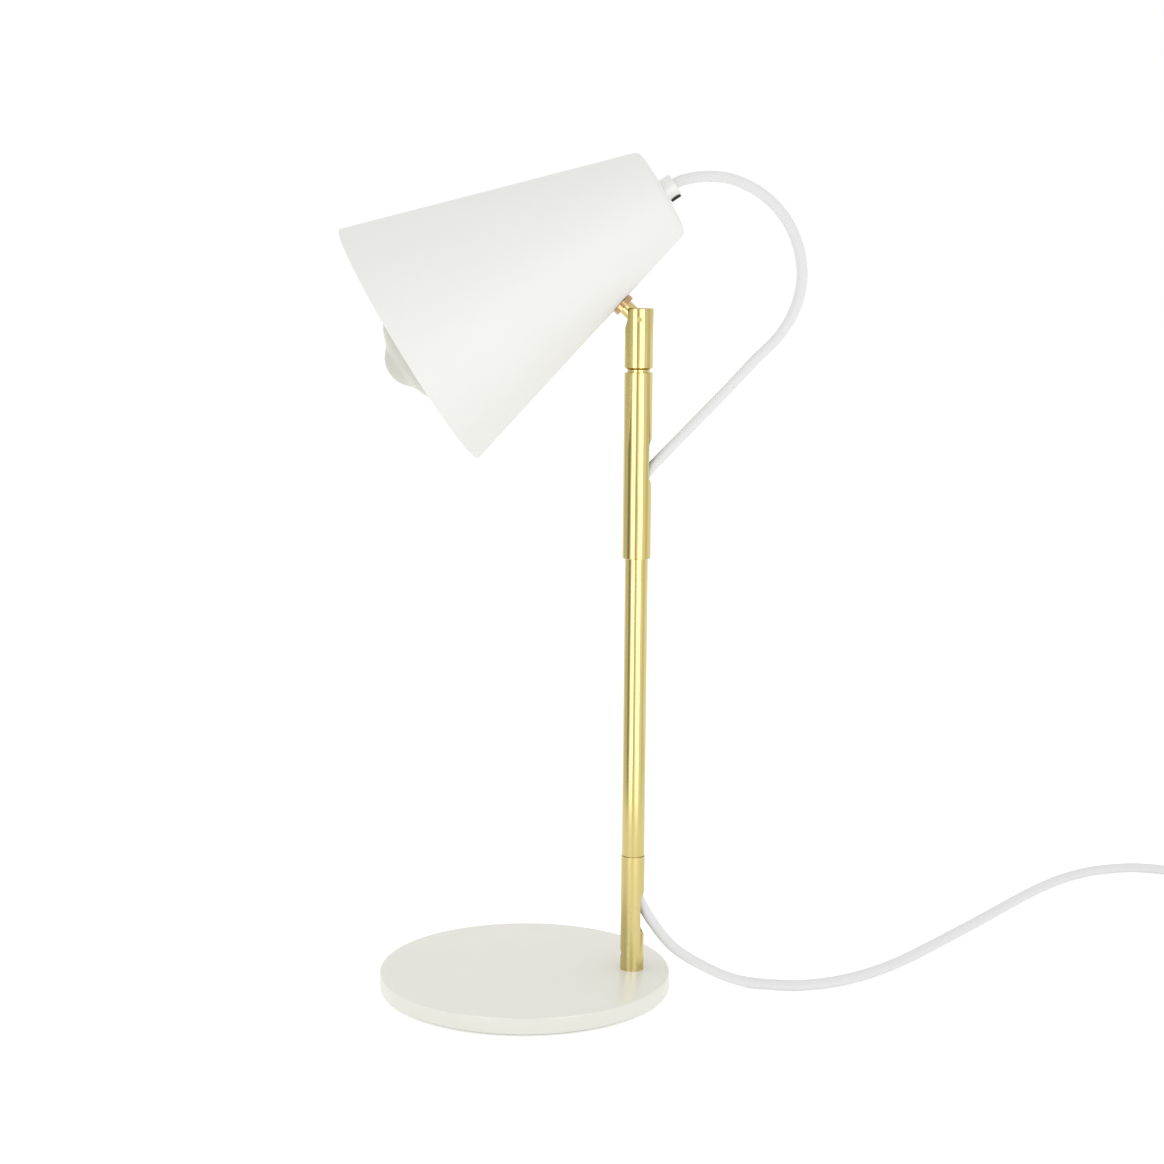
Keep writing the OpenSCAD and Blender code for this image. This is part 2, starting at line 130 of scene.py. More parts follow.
@dataclass(frozen=True)
class Finish:
    """A surface finish: one shader with constant values, and a maker's detail on top."""

    name: str
    slot: str
    colour: str
    roughness: float
    metallic: float = 0.0
    ior: float = 1.5
    coat: float = 0.0
    sheen: float = 0.0

    def build(self) -> bpy.types.Material:
        """Make the material, or return it if it was made before.

        Returns:
            The finished material.
        """
        found = bpy.data.materials.get(self.name)
        if found is not None:
            return found
        material = bpy.data.materials.new(self.name)
        material.use_nodes = True
        tree = material.node_tree
        shader = tree.nodes["Principled BSDF"]
        shader.inputs["Base Color"].default_value = linear(self.colour)
        shader.inputs["Roughness"].default_value = self.roughness
        shader.inputs["Metallic"].default_value = self.metallic
        shader.inputs["IOR"].default_value = self.ior
        shader.inputs["Coat Weight"].default_value = self.coat
        shader.inputs["Sheen Weight"].default_value = self.sheen
        self.detail(tree, shader)
        return material

    def detail(self, tree: bpy.types.NodeTree, shader: bpy.types.Node) -> None:
        """Leave the plain finish as it is."""


@dataclass(frozen=True)
class Grained(Finish):
    """A finish with an even fine grain, such as orange peel on powder coat or the skin of a moulding."""

    grain_mm: float = 0.8
    depth_mm: float = 0.02
    tone: str = "FFFFFF"
    tone_mm: float = 30.0

    def detail(self, tree: bpy.types.NodeTree, shader: bpy.types.Node) -> None:
        """Add the grain to the bump and roughness, and a slow drift to the colour.

        Args:
            tree: the material's nodes.
            shader: its principled shader.
        """
        place = add(tree, "ShaderNodeTexCoord").outputs["Object"]
        # One noise cell is one grain wide, and Object coordinates are metres
        grain = add(tree, "ShaderNodeTexNoise", Vector=place, Scale=1 / (self.grain_mm * MM), Detail=3.0)
        drift = add(tree, "ShaderNodeTexNoise", Vector=place, Scale=1 / (self.tone_mm * MM), Detail=2.0)
        bump = add(
            tree, "ShaderNodeBump", Height=grain.outputs["Fac"], Strength=0.5, Distance=self.depth_mm * MM
        )
        tree.links.new(bump.outputs["Normal"], shader.inputs["Normal"])
        rough = add(
            tree, "ShaderNodeMapRange", Value=grain.outputs["Fac"],
            To_Min=self.roughness * 0.85, To_Max=self.roughness * 1.15,
        )
        tree.links.new(rough.outputs["Result"], shader.inputs["Roughness"])
        colour = add(
            tree, "ShaderNodeMix", {"data_type": "RGBA"}, Factor=drift.outputs["Fac"],
            i6=linear(self.colour), i7=linear(self.tone),
        )
        tree.links.new(colour.outputs[2], shader.inputs["Base Color"])


@dataclass(frozen=True)
class Drawn(Finish):
    """Metal polished along its length, with faint lines that run up the piece and a slow cloudy wear."""

    # Real polishing lines are under 0.1 mm, too fine to show, so they are drawn at 2 mm
    line_mm: float = 2.0
    depth_mm: float = 0.004
    tone: str = "B8A860"
    along: tuple[float, float, float] = (1.0, 1.0, 0.02)

    def detail(self, tree: bpy.types.NodeTree, shader: bpy.types.Node) -> None:
        """Add the drawn lines and the handling marks.

        Args:
            tree: the material's nodes.
            shader: its principled shader.
        """
        place = add(tree, "ShaderNodeTexCoord").outputs["Object"]
        stretched = add(tree, "ShaderNodeMapping", Vector=place, Scale=self.along).outputs["Vector"]
        lines = add(tree, "ShaderNodeTexNoise", Vector=stretched, Scale=1 / (self.line_mm * MM), Detail=2.0)
        # Polish and handling drift over a few centimetres, so they never look like dents
        marks = add(tree, "ShaderNodeTexNoise", Vector=place, Scale=1 / (28 * MM), Detail=1.0)
        rough = add(
            tree, "ShaderNodeMapRange", Value=marks.outputs["Fac"],
            To_Min=self.roughness * 0.85, To_Max=self.roughness * 1.2,
        )
        tree.links.new(rough.outputs["Result"], shader.inputs["Roughness"])
        bump = add(
            tree, "ShaderNodeBump", Height=lines.outputs["Fac"], Strength=0.1, Distance=self.depth_mm * MM
        )
        tree.links.new(bump.outputs["Normal"], shader.inputs["Normal"])
        worn = add(
            tree, "ShaderNodeMapRange", Value=marks.outputs["Fac"], From_Min=0.45, From_Max=0.8, To_Max=0.35
        )
        colour = add(
            tree, "ShaderNodeMix", {"data_type": "RGBA"}, Factor=worn.outputs["Result"],
            i6=linear(self.colour), i7=linear(self.tone),
        )
        tree.links.new(colour.outputs[2], shader.inputs["Base Color"])


@dataclass(frozen=True)
class Braid(Finish):
    """Textile braid over a flex, with painted shade between the yarns. It follows the cord's own UV map:
    metres along, and turns around.
    """

    carriers: int = 8
    lay_mm: float = 15.0
    depth_mm: float = 0.06
    # The colour between the yarns: painted shade where the yarns dip apart
    gap: str = "D9D9D9"

    def wave(
        self, tree: bpy.types.NodeTree, u: bpy.types.NodeSocket, v: bpy.types.NodeSocket, hand: int
    ) -> bpy.types.NodeSocket:
        """One set of yarns, as a wave that winds round the cord.

        Args:
            tree: the material's nodes.
            u: socket with metres along the cord.
            v: socket with turns around it.
            hand: 1 or -1 for the way that the yarns wind.

        Returns:
            A socket that goes from -1 between yarns to 1 on them.
        """
        per_metre = hand * self.carriers / (self.lay_mm * MM)
        along = add(tree, "ShaderNodeMath", {"operation": "MULTIPLY"}, i0=u, i1=per_metre)
        around = add(tree, "ShaderNodeMath", {"operation": "MULTIPLY"}, i0=v, i1=float(self.carriers))
        both = add(tree, "ShaderNodeMath", {"operation": "ADD"}, i0=along.outputs[0], i1=around.outputs[0])
        turns = add(tree, "ShaderNodeMath", {"operation": "MULTIPLY"}, i0=both.outputs[0], i1=math.tau)
        return add(tree, "ShaderNodeMath", {"operation": "SINE"}, i0=turns.outputs[0]).outputs[0]

    def detail(self, tree: bpy.types.NodeTree, shader: bpy.types.Node) -> None:
        """Add the two crossing sets of yarns and their fuzz, and paint shade between the yarns.

        Args:
            tree: the material's nodes.
            shader: its principled shader.
        """
        uv = add(tree, "ShaderNodeUVMap", {"uv_map": "UVMap"})
        parts = add(tree, "ShaderNodeSeparateXYZ", Vector=uv.outputs["UV"])
        u, v = parts.outputs["X"], parts.outputs["Y"]
        right, left = self.wave(tree, u, v, 1), self.wave(tree, u, v, -1)
        over = add(tree, "ShaderNodeMath", {"operation": "MAXIMUM"}, i0=right, i1=left)
        place = add(tree, "ShaderNodeTexCoord").outputs["Object"]
        # Cotton fibres are 0.02 mm, too fine to show, so the fuzz is drawn at 1.4 mm
        fuzz = add(tree, "ShaderNodeTexNoise", Vector=place, Scale=1 / (1.4 * MM), Detail=1.0)
        height = add(
            tree, "ShaderNodeMath", {"operation": "MULTIPLY_ADD"}, i0=fuzz.outputs["Fac"], i1=0.5,
            i2=over.outputs[0],
        )
        bump = add(
            tree, "ShaderNodeBump", Height=height.outputs[0], Strength=0.3, Distance=self.depth_mm * MM
        )
        tree.links.new(bump.outputs["Normal"], shader.inputs["Normal"])
        # Painted shade: the colour falls to the gap colour between the yarns
        shown = add(tree, "ShaderNodeMapRange", Value=over.outputs[0], From_Min=-0.4, From_Max=0.6)
        colour = add(
            tree, "ShaderNodeMix", {"data_type": "RGBA"}, Factor=shown.outputs["Result"],
            i6=linear(self.gap), i7=linear(self.colour),
        )
        tree.links.new(colour.outputs[2], shader.inputs["Base Color"])


# Powder coat flows into a soft orange peel about a millimetre across, and shines softly on the flat foot
FOOT_COAT = Grained(
    "powder coated steel, semi-gloss", "powder", "E1E1D8", 0.3, grain_mm=1.1, depth_mm=0.01,
    tone="DDDDD4",
)
# The shade has a satin grade of the same coat, so the cone shades softly and has no glint
SHADE_COAT = Grained(
    "powder coated steel, satin", "shade_paint", "E4E4E1", 0.62, grain_mm=0.9, depth_mm=0.02, tone="E2E2DE"
)
# Brass turned and polished, then lacquered: mirror bright on the thick pieces
BRASS = Drawn("brass, polished", "brass", "CABA7C", 0.07, metallic=1.0, tone="C4B370", depth_mm=0.0005)
# The thin tube is drawn and only buffed, so its reflections spread
TUBE_BRASS = Drawn(
    "brass, drawn tube, buffed", "brass", "CDBD80", 0.16, metallic=1.0, tone="C6B572", line_mm=2.4,
    depth_mm=0.001,
)
# The collar was rubbed with fine cloth up and down, and has a satin face
COLLAR_BRASS = Drawn(
    "brass, satin", "brass", "CCBC80", 0.27, metallic=1.0, tone="CABA78", line_mm=2.2, depth_mm=0.002
)
# Red brass has more copper in it, and looks pinker beside the yellow head
COPPER_BRASS = Drawn(
    "red brass washer, turned", "copper_washer", "BE9C72", 0.16, metallic=1.0, tone="9A7448",
    along=(1.0, 1.0, 1.0),
)
# Zinc plate is a dull bluish grey with soft reflections
ZINC = Drawn(
    "steel, zinc plated", "steel", "BFC2C4", 0.3, metallic=1.0, tone="A2A5A8", along=(1.0, 1.0, 1.0)
)
# Nickel plate is bright and faintly warm, with wear lines along the pin
NICKEL = Drawn(
    "brass pin, nickel plated", "chrome", "D5D3CC", 0.14, metallic=1.0, tone="BEBCB4",
    along=(1.0, 0.05, 1.0),
)
# Thin rolled aluminium is pale and only half bright
CAP_METAL = Drawn(
    "aluminium cap, rolled", "cap_metal", "C9CACC", 0.28, metallic=1.0, tone="AEB0B3",
    along=(1.0, 1.0, 1.0),
)
# Blackened steel keeps an oily, nearly matt skin
BLACK_SCREW = Grained(
    "steel screw, blackened", "black_steel", "0A0A0A", 0.6, ior=1.45, grain_mm=0.4, depth_mm=0.01,
    tone="161616",
)
# Moulded plastic takes the mould's own fine etched skin
WHITE_MOULDING = Grained(
    "ABS, injection moulded, semi-gloss", "white_plastic", "E9E9E7", 0.32, ior=1.54, grain_mm=0.5,
    depth_mm=0.008, tone="E5E5E2",
)
# Soft PVC is duller than the hard moulding beside it
WHITE_RUBBER = Grained(
    "soft PVC, moulded", "white_rubber", "E6E6E4", 0.55, ior=1.53, grain_mm=0.6, depth_mm=0.02, tone="E0E0DD"
)
# Glaze lies over the fired clay as a clear wet-looking coat
PORCELAIN = Grained(
    "porcelain, glazed", "ceramic", "E6E3DB", 0.2, coat=0.6, grain_mm=3.0, depth_mm=0.01, tone="DEDAD0"
)
# Opal glass is milky all through, with a smooth skin that still catches the lights. Its colour is set greyer
# than the glass's own white: painted shade from sitting deep in the shade's mouth
OPAL_GLASS_PAINTED_SHADE = Grained(
    "opal glass, blown", "opal_glass", "CBCABF", 0.35, ior=1.52, coat=0.1, grain_mm=14.0, depth_mm=0.01,
    tone="C6C5BA",
)
# Pressed wool is matt and mottled, with a little fuzz at its edge
FELT = Grained(
    "wool felt, pressed", "felt", "E0E0DB", 0.95, sheen=0.3, grain_mm=0.7, depth_mm=0.2, tone="D4D4CE",
    tone_mm=4.0,
)
# The band's woven loops scatter the light like short pile
BAND = Grained(
    "hook and loop band, woven nylon", "tie", "DCDCDA", 0.85, sheen=0.3, grain_mm=0.6, depth_mm=0.2,
    tone="CFCFCC", tone_mm=3.0,
)
# The flex's own sheath, bare inside the lampholder, is smooth and faintly shiny
TEXTILE_END = Grained(
    "flex sheath, PVC", "textile", "E4E4E4", 0.5, ior=1.53, grain_mm=0.5, depth_mm=0.01, tone="DEDEDE"
)
# Fine cotton yarns, eight each way, cross every few millimetres and hardly show on white; the darker gaps
# between them are painted shade
TEXTILE = Braid("cotton braid on round flex", "textile", "DFDFDF", 0.85, sheen=0.15)


# ---------------------------------------------------------------- Mesh tools


def settle(piece: bpy.types.Object, finish: Finish, nodes: list[str], body: Body | None = None) -> None:
    """Hide the CAD nodes that a piece stands for, hang it on the body that it rides on, and log its finish.

    Args:
        piece: the finished piece.
        finish: its finish, whose name is logged.
        nodes: the CAD nodes that it stands for.
        body: the body that it rides on, or None to leave it on no body.
    """
    if nodes:
        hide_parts(*nodes)
    if body is not None:
        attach(piece, body.value)
    LOG.info("%s: %s, %d faces", piece.name, finish.name, len(piece.data.polygons))


def true_round(mesh: bpy.types.Mesh, axis_x: float) -> None:
    """Give the faces turned round an upright axis the normals of a true cylinder.

    Args:
        mesh: the mesh to change.
        axis_x: where the axis crosses the X axis, in metres.
    """
    normals = [Vector(corner.vector) for corner in mesh.corner_normals]
    for face in mesh.polygons:
        middle = Vector((face.center.x - axis_x, face.center.y, 0.0))
        if middle.length < 1e-6:
            continue
        facing = face.normal.dot(middle.normalized())
        if abs(facing) < WALL_FACING:
            continue
        for corner in face.loop_indices:
            point = mesh.vertices[mesh.loops[corner].vertex_index].co
            out = Vector((point.x - axis_x, point.y, 0.0))
            normals[corner] = out.normalized() * math.copysign(1.0, facing)
    mesh.normals_split_custom_set(normals)


def carry(
    names: list[str], body: Body, finish: Finish, smooth_deg: float = 32.0, axis_x: float | None = None
) -> None:
    """Carry CAD nodes over as they are, with their round faces smooth and their edges crisp.

    Args:
        names: the nodes.
        body: the body that they ride on.
        finish: what they are made of.
        smooth_deg: edges sharper than this stay sharp.
        axis_x: the upright axis that they were turned round, in metres, or None.
    """
    for name in names:
        builder = bmesh.new()
        builder.from_mesh(frame["nodes"][name].data)
        bmesh.ops.remove_doubles(builder, verts=builder.verts, dist=2e-6)
        piece = finished(name + "_made", builder, finish, smooth_deg, turn_out=False)
        if axis_x is not None:
            true_round(piece.data, axis_x)
        settle(piece, finish, [name], body)


def finished(
    name: str, builder: bmesh.types.BMesh, finish: Finish, smooth_deg: float = 40.0, turn_out: bool = True
) -> bpy.types.Object:
    """Turn a bmesh into a named object with a finish and smooth shading.

    Args:
        name: the piece's name.
        builder: the mesh under construction, which is freed.
        finish: its material.
        smooth_deg: edges sharper than this stay sharp.
        turn_out: whether the faces still have to be turned outwards.

    Returns:
        The new object, at the origin.
    """
    bmesh.ops.remove_doubles(builder, verts=builder.verts, dist=1e-7)
    if turn_out:
        bmesh.ops.recalc_face_normals(builder, faces=builder.faces)
    for face in builder.faces:
        face.smooth = True
    for edge in builder.edges:
        edge.smooth = len(edge.link_faces) < 2 or edge.calc_face_angle(0.0) < math.radians(smooth_deg)
    mesh = bpy.data.meshes.new(name)
    builder.to_mesh(mesh)
    builder.free()
    mesh.materials.append(finish.build())
    piece = bpy.data.objects.new(name, mesh)
    bpy.context.scene.collection.objects.link(piece)
    return piece


def spun(name: str, profile: Profile, place: Matrix, finish: Finish, steps: int = 160) -> bpy.types.Object:
    """Spin a profile of radius and height, in millimetres, round its own axis.

    Args:
        name: the piece's name.
        profile: points along the outline. A closed outline ends on its first point.
        place: the axis's place, in metres.
        finish: its material.
        steps: faces round the axis.

    Returns:
        The new object.
    """
    builder = bmesh.new()
    rings = []
    for radius, height in profile:
        count = 1 if radius < 1e-6 else steps
        around = [math.tau * k / steps for k in range(count)]
        ring = [Vector((radius * MM * math.cos(a), radius * MM * math.sin(a), height * MM)) for a in around]
        rings.append([builder.verts.new(place @ point) for point in ring])
    for low, high in zip(rings, rings[1:]):
        for k in range(steps):
            m = (k + 1) % steps
            corners = [low[k % len(low)], low[m % len(low)], high[m % len(high)], high[k % len(high)]]
            unique = list(dict.fromkeys(corners))
            if len(unique) > 2:
                builder.faces.new(unique)
    return finished(name, builder, finish)


def smooth_path(route: Route, step_mm: float = 2.5) -> list[Vector]:
    """Run one smooth curve through a route's points, and cut it into even steps.

    Args:
        route: points in millimetres.
        step_mm: distance between the points that come back.

    Returns:
        Points in metres.
    """
    points = [Vector(p) * MM for p in route]
    points = [points[0] * 2 - points[1], *points, points[-1] * 2 - points[-2]]
    fine, parts = [], 12
    for a, b, c, d in zip(points, points[1:], points[2:], points[3:]):
        for t in (k / parts for k in range(parts)):
            bend = (2 * a - 5 * b + 4 * c - d) * t**2
            twist = (3 * b - a - 3 * c + d) * t**3
            fine.append(0.5 * (2 * b + (c - a) * t + bend + twist))
    fine.append(points[-2])
    along = [0.0]
    for p, q in zip(fine, fine[1:]):
        along.append(along[-1] + (q - p).length)
    count = max(2, round(along[-1] / (step_mm * MM)))
    even, at = [], 0
    for k in range(count + 1):
        want = along[-1] * k / count
        while at < len(fine) - 2 and along[at + 1] < want:
            at += 1
        span = along[at + 1] - along[at]
        even.append(fine[at].lerp(fine[at + 1], (want - along[at]) / span if span else 0.0))
    return even


def path_length(path: list[Vector]) -> float:
    """Length of a path in metres."""
    return sum((q - p).length for p, q in zip(path, path[1:]))


def tube(
    name: str, path: list[Vector], radius: float, start_u: float = 0.0, sides: int = 16
) -> bpy.types.Object:
    """Sweep a round cord along a path, with a UV map of metres along and turns around.

    Args:
        name: the piece's name.
        path: its centreline, in metres.
        radius: in metres.
        start_u: metres along at which the braid's pattern starts.
        sides: faces round the cord.

    Returns:
        The new object.
    """
    builder = bmesh.new()
    uv_layer = builder.loops.layers.uv.new("UVMap")
    count = len(path)
    heading = [(path[min(i + 1, count - 1)] - path[max(i - 1, 0)]).normalized() for i in range(count)]
    side = heading[0].cross(Vector((0.1, 0.9, 0.3))).normalized()
    rings, along = [], [start_u]
    for i, (point, way) in enumerate(zip(path, heading)):
        side = (side - way * side.dot(way)).normalized()
        other = way.cross(side)
        rings.append([
            builder.verts.new(point + radius * (side * math.cos(a) + other * math.sin(a)))
            for a in (math.tau * k / sides for k in range(sides))
        ])
        if i:
            along.append(along[-1] + (point - path[i - 1]).length)
    for i in range(count - 1):
        for k in range(sides):
            m = (k + 1) % sides
            face = builder.faces.new((rings[i][k], rings[i][m], rings[i + 1][m], rings[i + 1][k]))
            corners = ((i, k), (i, k + 1), (i + 1, k + 1), (i + 1, k))
            for loop, (row, turn) in zip(face.loops, corners):
                loop[uv_layer].uv = (along[row], turn / sides)
    builder.faces.new(rings[0][::-1])
    builder.faces.new(rings[-1])
    return finished(name, builder, TEXTILE, smooth_deg=60)


class Tree:
    """A Geometry Nodes tree that is built, run once, and turned into a plain mesh."""

    def __init__(self, name: str, inputs: dict[str, float]) -> None:
        """Start a tree with named number inputs and a material input.

        Args:
            name: the tree's name.
            inputs: each input's name and value.
        """
        self.tree = bpy.data.node_groups.new(name, "GeometryNodeTree")
        face = self.tree.interface
        face.new_socket("Geometry", in_out="OUTPUT", socket_type="NodeSocketGeometry")
        self.ids = {}
        kinds = {key: "NodeSocketFloat" for key in inputs} | {"Material": "NodeSocketMaterial"}
        for key, kind in kinds.items():
            self.ids[key] = face.new_socket(key, in_out="INPUT", socket_type=kind).identifier
        self.values = inputs
        self.given = self.tree.nodes.new("NodeGroupInput")

    def end(
        self, geometry: bpy.types.NodeSocket, name: str, finish: Finish, place: Matrix
    ) -> bpy.types.Object:
        """Close the tree with Realize Instances and Set Material, run it and keep a plain mesh.

        Args:
            geometry: the socket with the shape.
            name: the piece's name.
            finish: its material.
            place: where the shape goes, in metres.

        Returns:
            A plain mesh object with no modifier.
        """
        smooth = add(self.tree, "GeometryNodeSetShadeSmooth", Geometry=geometry)
        real = add(self.tree, "GeometryNodeRealizeInstances", Geometry=smooth.outputs[0])
        material = self.given.outputs["Material"]
        dressed = add(self.tree, "GeometryNodeSetMaterial", Geometry=real.outputs[0], Material=material)
        out = self.tree.nodes.new("NodeGroupOutput")
        self.tree.links.new(dressed.outputs[0], out.inputs[0])
        holder = bpy.data.objects.new(name + "_build", bpy.data.meshes.new(name + "_build"))
        bpy.context.scene.collection.objects.link(holder)
        modifier = holder.modifiers.new("build", "NODES")
        modifier.node_group = self.tree
        for key, value in self.values.items():
            modifier[self.ids[key]] = value
        modifier[self.ids["Material"]] = finish.build()
        seen = holder.evaluated_get(bpy.context.evaluated_depsgraph_get())
        mesh = bpy.data.meshes.new_from_object(seen)
        bpy.data.objects.remove(holder)
        mesh.transform(place)
        mesh.name = name
        if not mesh.materials:
            mesh.materials.append(finish.build())
        piece = bpy.data.objects.new(name, mesh)
        bpy.context.scene.collection.objects.link(piece)
        return piece


def thread(
    name: str, radius: float, pitch: float, turns: float, ridge: float, finish: Finish, place: Matrix
) -> bpy.types.Object:
    """A rolled screw thread: one rounded ridge that winds up a cylinder.

    Args:
        name: the piece's name.
        radius: of the ridge's middle, in millimetres.
        pitch: rise in each turn, in millimetres.
        turns: number of turns.
        ridge: the ridge's own radius, in millimetres.
        finish: its material.
        place: the cylinder's place, in metres.

    Returns:
        The new object.
    """
    sizes = {"Radius": radius * MM, "Rise": pitch * turns * MM, "Turns": turns, "Ridge": ridge * MM}
    work = Tree(name, sizes)
    given = work.given.outputs
    spiral = add(
        work.tree, "GeometryNodeCurveSpiral", Resolution=40, Rotations=given["Turns"],
        Start_Radius=given["Radius"], End_Radius=given["Radius"], Height=given["Rise"],
    )
    ring = add(work.tree, "GeometryNodeCurvePrimitiveCircle", Resolution=8, Radius=given["Ridge"])
    swept = add(
        work.tree, "GeometryNodeCurveToMesh", Curve=spiral.outputs[0], Profile_Curve=ring.outputs[0],
        Fill_Caps=True,
    )
    return work.end(swept.outputs[0], name, finish, place)


def ribs(
    name: str, count: int, gap: float, length: float, width: float, finish: Finish, place: Matrix
) -> bpy.types.Object:
    """A row of round-topped grip ribs, side by side along +X and each lying along Y.

    Args:
        name: the piece's name.
        count: number of ribs.
        gap: distance between their middles, in millimetres.
        length: of each rib, in millimetres.
        width: of each rib, in millimetres.
        finish: its material.
        place: the middle of the row, in metres.

    Returns:
        The new object.
    """
    sizes = {"Count": float(count), "Gap": gap * MM, "Length": length * MM, "Radius": width / 2 * MM}
    work = Tree(name, sizes)
    given = work.given.outputs
    step = add(work.tree, "ShaderNodeCombineXYZ", X=given["Gap"])
    less = add(work.tree, "ShaderNodeMath", {"operation": "SUBTRACT"}, i0=given["Count"], i1=1.0)
    span = add(work.tree, "ShaderNodeMath", {"operation": "MULTIPLY"}, i0=less.outputs[0], i1=given["Gap"])
    half = add(work.tree, "ShaderNodeMath", {"operation": "MULTIPLY"}, i0=span.outputs[0], i1=-0.5)
    start = add(work.tree, "ShaderNodeCombineXYZ", X=half.outputs[0])
    row = add(
        work.tree, "GeometryNodeMeshLine", Count=given["Count"], Start_Location=start.outputs[0],
        Offset=step.outputs[0],
    )
    bar = add(
        work.tree, "GeometryNodeMeshCylinder", Vertices=12, Radius=given["Radius"], Depth=given["Length"]
    )
    laid = add(work.tree, "GeometryNodeTransform", Geometry=bar.outputs[0], Rotation=(math.pi / 2, 0.0, 0.0))
    placed = add(work.tree, "GeometryNodeInstanceOnPoints", Points=row.outputs[0], Instance=laid.outputs[0])
    return work.end(placed.outputs[0], name, finish, place)


def arc(centre: tuple[float, float], radius: float, start: float, end: float, steps: int) -> Profile:
    """Points of an arc in a profile.

    Args:
        centre: the arc's centre, as radius and height.
        radius: of the arc.
        start: angle of its first point, in degrees.
        end: angle of its last point, in degrees.
        steps: straight steps along it.

    Returns:
        The points, with both ends.
    """
    angles = [math.radians(start + (end - start) * k / steps) for k in range(steps + 1)]
    return [(centre[0] + radius * math.cos(a), centre[1] + radius * math.sin(a)) for a in angles]


# ---------------------------------------------------------------- The lamp


@dataclass(frozen=True)
class Card:
    """A card that only reflections see. Its strength is its brightness, with 1 the room's own."""

    name: str
    azimuth: float
    width: float
    strength: float


@dataclass
class Studio:
    """The camera, floor and lights round the lamp."""

    eye_mm: tuple[float, float, float] = (31.4, -1127.4, 395.6)
    pitch: float = 0.1407
    roll: float = 0.0076
    lens_mm: float = 62.53
    sensor_mm: float = 36.0
    floor_size: float = 40.0
    floor_middle: tuple[float, float, float] = (0.0, 8.0, 0.0)
    floor_glow: float = 0.27
    key_power: float = 1.6
    key_size: float = 1.6
    key_place: tuple[float, float, float] = (0.5, -2.4, 0.8)
    key_aim: tuple[float, float, float] = (0.0, 0.0, 0.3)
    card_reach: float = 0.45
    card_top: float = 0.5
    card_middle_x: float = 0.06
    card_columns: int = 9

    # Degrees from the camera's side, positive to the right, then degrees covered, then strength
    CARDS: ClassVar[tuple[Card, ...]] = (
        Card("softbox_right", 26.0, 34.0, 3.1),
        Card("softbox_left", -33.0, 27.0, 3.2),
        Card("flag_middle", -8.0, 8.0, 0.6),
        Card("flag_left", -70.0, 24.0, 0.35),
        Card("card_far_left", -104.0, 44.0, 0.82),
        Card("flag_right", 82.0, 24.0, 0.9),
    )

    def camera(self) -> None:
        """Set up the camera a little below the lamp's top, looking slightly down."""
        data = bpy.data.cameras.new("camera")
        data.sensor_width = self.sensor_mm
        data.lens = self.lens_mm
        data.clip_end = 50.0
        eye = bpy.data.objects.new("camera", data)
        bpy.context.scene.collection.objects.link(eye)
        right = Vector((1, 0, 0))
        up = Vector((0, math.sin(self.pitch), math.cos(self.pitch)))
        back = Vector((0, -math.cos(self.pitch), math.sin(self.pitch)))
        rolled_right = right * math.cos(self.roll) + up * math.sin(self.roll)
        rolled_up = up * math.cos(self.roll) - right * math.sin(self.roll)
        turn = Matrix((rolled_right, rolled_up, back)).transposed().to_4x4()
        eye.matrix_world = Matrix.Translation(Vector(self.eye_mm) * MM) @ turn
        bpy.context.scene.camera = eye

    def floor(self) -> None:
        """Lay a pale floor that reaches past the view."""
        bpy.ops.mesh.primitive_plane_add(size=self.floor_size, location=self.floor_middle)
        floor = bpy.context.object
        floor.name = "floor"
        material = bpy.data.materials.new("white card floor")
        material.use_nodes = True
        shader = material.node_tree.nodes["Principled BSDF"]
        shader.inputs["Base Color"].default_value = linear("F4F4F4")
        shader.inputs["Roughness"].default_value = 1.0
        shader.inputs["Specular IOR Level"].default_value = 0.0
        shader.inputs["Emission Color"].default_value = (1.0, 1.0, 1.0, 1.0)
        shader.inputs["Emission Strength"].default_value = self.floor_glow
        floor.data.materials.append(material)

    def hang(self, card: Card) -> None:
        """Hang a card on a circle round the lamp, standing on the floor.

        Args:
            card: the card.
        """
        centre = math.radians(card.azimuth)
        half = math.radians(card.width / 2)
        builder = bmesh.new()
        columns = []
        for k in range(self.card_columns):
            a = centre - half + 2 * half * k / (self.card_columns - 1)
            x, y = self.card_middle_x + self.card_reach * math.sin(a), -self.card_reach * math.cos(a)
            columns.append((builder.verts.new((x, y, 0.0)), builder.verts.new((x, y, self.card_top))))
        for (a, b), (c, d) in zip(columns, columns[1:]):
            builder.faces.new((a, c, d, b))
        mesh = bpy.data.meshes.new(card.name)
        builder.to_mesh(mesh)
        builder.free()
        material = bpy.data.materials.new(card.name + " card")
        material.use_nodes = True
        tree = material.node_tree
        tree.nodes.clear()
        glow = add(tree, "ShaderNodeEmission", Strength=card.strength)
        out = tree.nodes.new("ShaderNodeOutputMaterial")
        tree.links.new(glow.outputs[0], out.inputs[0])
        mesh.materials.append(material)
        hung = bpy.data.objects.new(card.name, mesh)
        bpy.context.scene.collection.objects.link(hung)
        hung.visible_camera = hung.visible_diffuse = hung.visible_shadow = hung.visible_transmission = False

    def lights(self) -> None:
        """Light the room evenly, with a weak broad key from the front and cards for the brass."""
        scene = bpy.context.scene
        world = bpy.data.worlds.new("white room")
        scene.world = world
        world.use_nodes = True
        world.node_tree.nodes["Background"].inputs["Color"].default_value = (1.0, 1.0, 1.0, 1.0)
        world.node_tree.nodes["Background"].inputs["Strength"].default_value = 1.0
        scene.view_settings.view_transform = "Standard"
        key = bpy.data.lights.new("key", "AREA")
        key.energy, key.size = self.key_power, self.key_size
        lamp = bpy.data.objects.new("key", key)
        lamp.location = self.key_place
        aim = Vector(self.key_aim) - lamp.location
        lamp.rotation_euler = aim.to_track_quat("-Z", "Y").to_euler()
        scene.collection.objects.link(lamp)
        for card in self.CARDS:
            self.hang(card)

    def build(self) -> None:
        """Set up everything round the lamp."""
        self.camera()
        self.floor()
        self.lights()


